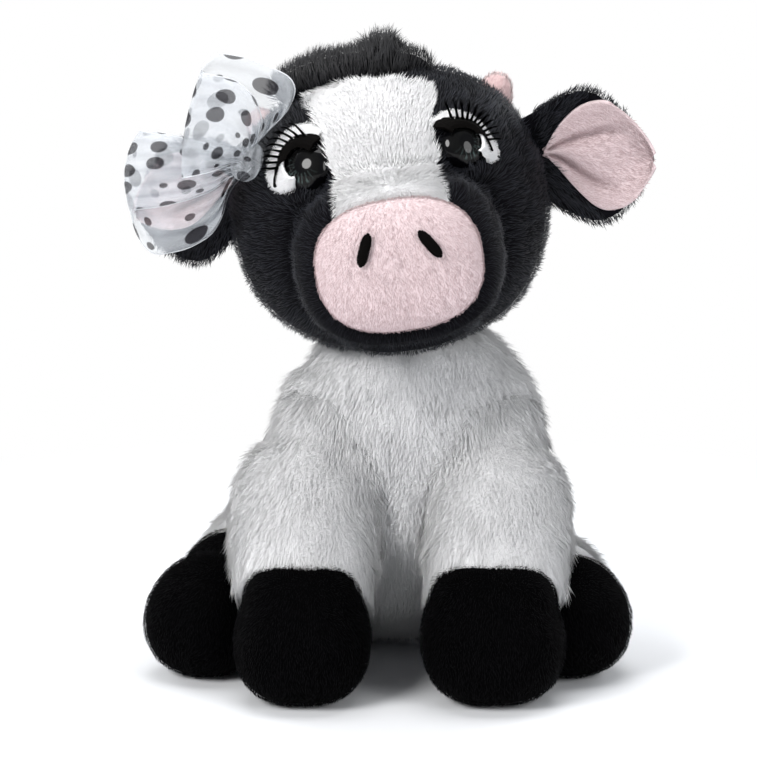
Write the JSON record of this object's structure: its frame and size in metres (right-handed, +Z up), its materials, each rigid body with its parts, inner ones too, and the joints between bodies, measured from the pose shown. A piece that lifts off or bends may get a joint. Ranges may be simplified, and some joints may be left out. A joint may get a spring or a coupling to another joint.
{
  "type": "plush cow",
  "caption": "Sitting stuffed cow with boot-like feet, a forelock, ears and a ribbon bow, whose head, ears, legs and tail bend on their stuffing.",
  "frame": {"origin": "on the flat face under the seat, near its middle, level with the floor that the cow sits on", "axes": "+X to the viewer's right, -Y the way the face looks, +Z up"},
  "size_m": [0.2089, 0.2194, 0.2462],
  "materials": {
    "white_pile": "long combed pile",
    "black_pile": "long combed pile",
    "black_plush": "short pile",
    "pink_plush": "short pile",
    "horn_pink": "short pile",
    "fibre_stuffing": "loose fibre",
    "pouch_cloth": "plain weave",
    "organza": "sheer ribbon with dark dots",
    "black_thread": "satin stitch",
    "lash_fibre": "fine fibre",
    "eye_plastic": "gloss",
    "washer_plastic": "moulded"
  },
  "bodies": {
    "torso": {"torso_casing": "white_pile", "torso_filling": "fibre_stuffing", "seat_pouch": "pouch_cloth"},
    "neck": {"neck_filling": "fibre_stuffing"},
    "head": {"head_casing": "black_pile", "head_filling": "fibre_stuffing", "forehead_blaze": "white_pile", "muzzle_pad": "pink_plush", "nostril_left": "black_thread", "nostril_right": "black_thread", "eye_left": "eye_plastic", "eye_right": "eye_plastic", "eye_washer_left": "washer_plastic", "eye_washer_right": "washer_plastic", "eye_patch_left": "white_pile", "eye_patch_right": "white_pile", "lashes_left": "lash_fibre", "lashes_right": "lash_fibre", "horn_left": "horn_pink", "horn_right": "horn_pink", "forelock": "black_pile", "bow_knot": "organza", "bow_loop_upper": "organza", "bow_loop_lower": "organza"},
    "ear_left": {"ear_outer_left": "black_pile", "ear_lining_left": "pink_plush"},
    "ear_right": {"ear_outer_right": "black_pile", "ear_lining_right": "pink_plush"},
    "front_leg_left": {"front_leg_left": "white_pile", "front_hoof_left": "black_plush", "front_leg_filling_left": "fibre_stuffing"},
    "front_leg_right": {"front_leg_right": "white_pile", "front_hoof_right": "black_plush", "front_leg_filling_right": "fibre_stuffing"},
    "hind_leg_left": {"hind_leg_left": "white_pile", "hind_foot_left": "black_plush", "hind_leg_filling_left": "fibre_stuffing"},
    "hind_leg_right": {"hind_leg_right": "white_pile", "hind_foot_right": "black_plush", "hind_leg_filling_right": "fibre_stuffing"},
    "tail": {"tail": "white_pile", "tail_tuft": "black_pile"}
  },
  "joints": [
    {"name": "head_turn", "type": "hinge", "parent": "torso", "child": "neck", "pos_m": [0, -0.007, 0.124], "axis": [0, 0, 1], "range_deg": [-18, 18], "stiffness_Nm_per_rad": 0.8},
    {"name": "head_nod", "type": "hinge", "parent": "neck", "child": "head", "pos_m": [0, -0.007, 0.124], "axis": [0.9885, 0, 0.1513], "range_deg": [-12, 8], "stiffness_Nm_per_rad": 2},
    {"name": "ear_flap_left", "type": "hinge", "parent": "head", "child": "ear_left", "pos_m": [-0.06081, -0.01288, 0.18502], "axis": [-0.2538, 0, 0.9673], "range_deg": [-25, 10], "stiffness_Nm_per_rad": 0.15},
    {"name": "ear_flap_right", "type": "hinge", "parent": "head", "child": "ear_right", "pos_m": [0.0596, -0.01288, 0.1958], "axis": [0.0471, 0, -0.9989], "range_deg": [-25, 25], "stiffness_Nm_per_rad": 0.15},
    {"name": "shoulder_left", "type": "hinge", "parent": "torso", "child": "front_leg_left", "pos_m": [-0.02773, -0.0224, 0.0833], "axis": [-1, 0, 0], "range_deg": [0, 28], "stiffness_Nm_per_rad": 0.8},
    {"name": "shoulder_right", "type": "hinge", "parent": "torso", "child": "front_leg_right", "pos_m": [0.04012, -0.0224, 0.0833], "axis": [-1, 0, 0], "range_deg": [0, 28], "stiffness_Nm_per_rad": 0.8},
    {"name": "hip_left", "type": "hinge", "parent": "torso", "child": "hind_leg_left", "pos_m": [-0.04484, 0.00392, 0.02916], "axis": [0, 0, -1], "range_deg": [0, 20], "stiffness_Nm_per_rad": 0.8},
    {"name": "hip_right", "type": "hinge", "parent": "torso", "child": "hind_leg_right", "pos_m": [0.04484, 0.00392, 0.02916], "axis": [0, 0, 1], "range_deg": [0, 20], "stiffness_Nm_per_rad": 0.8},
    {"name": "tail_swing", "type": "hinge", "parent": "torso", "child": "tail", "pos_m": [0, 0.05824, 0.04046], "axis": [0, 0, 1], "range_deg": [-35, 35], "stiffness_Nm_per_rad": 0.05}
  ]
}
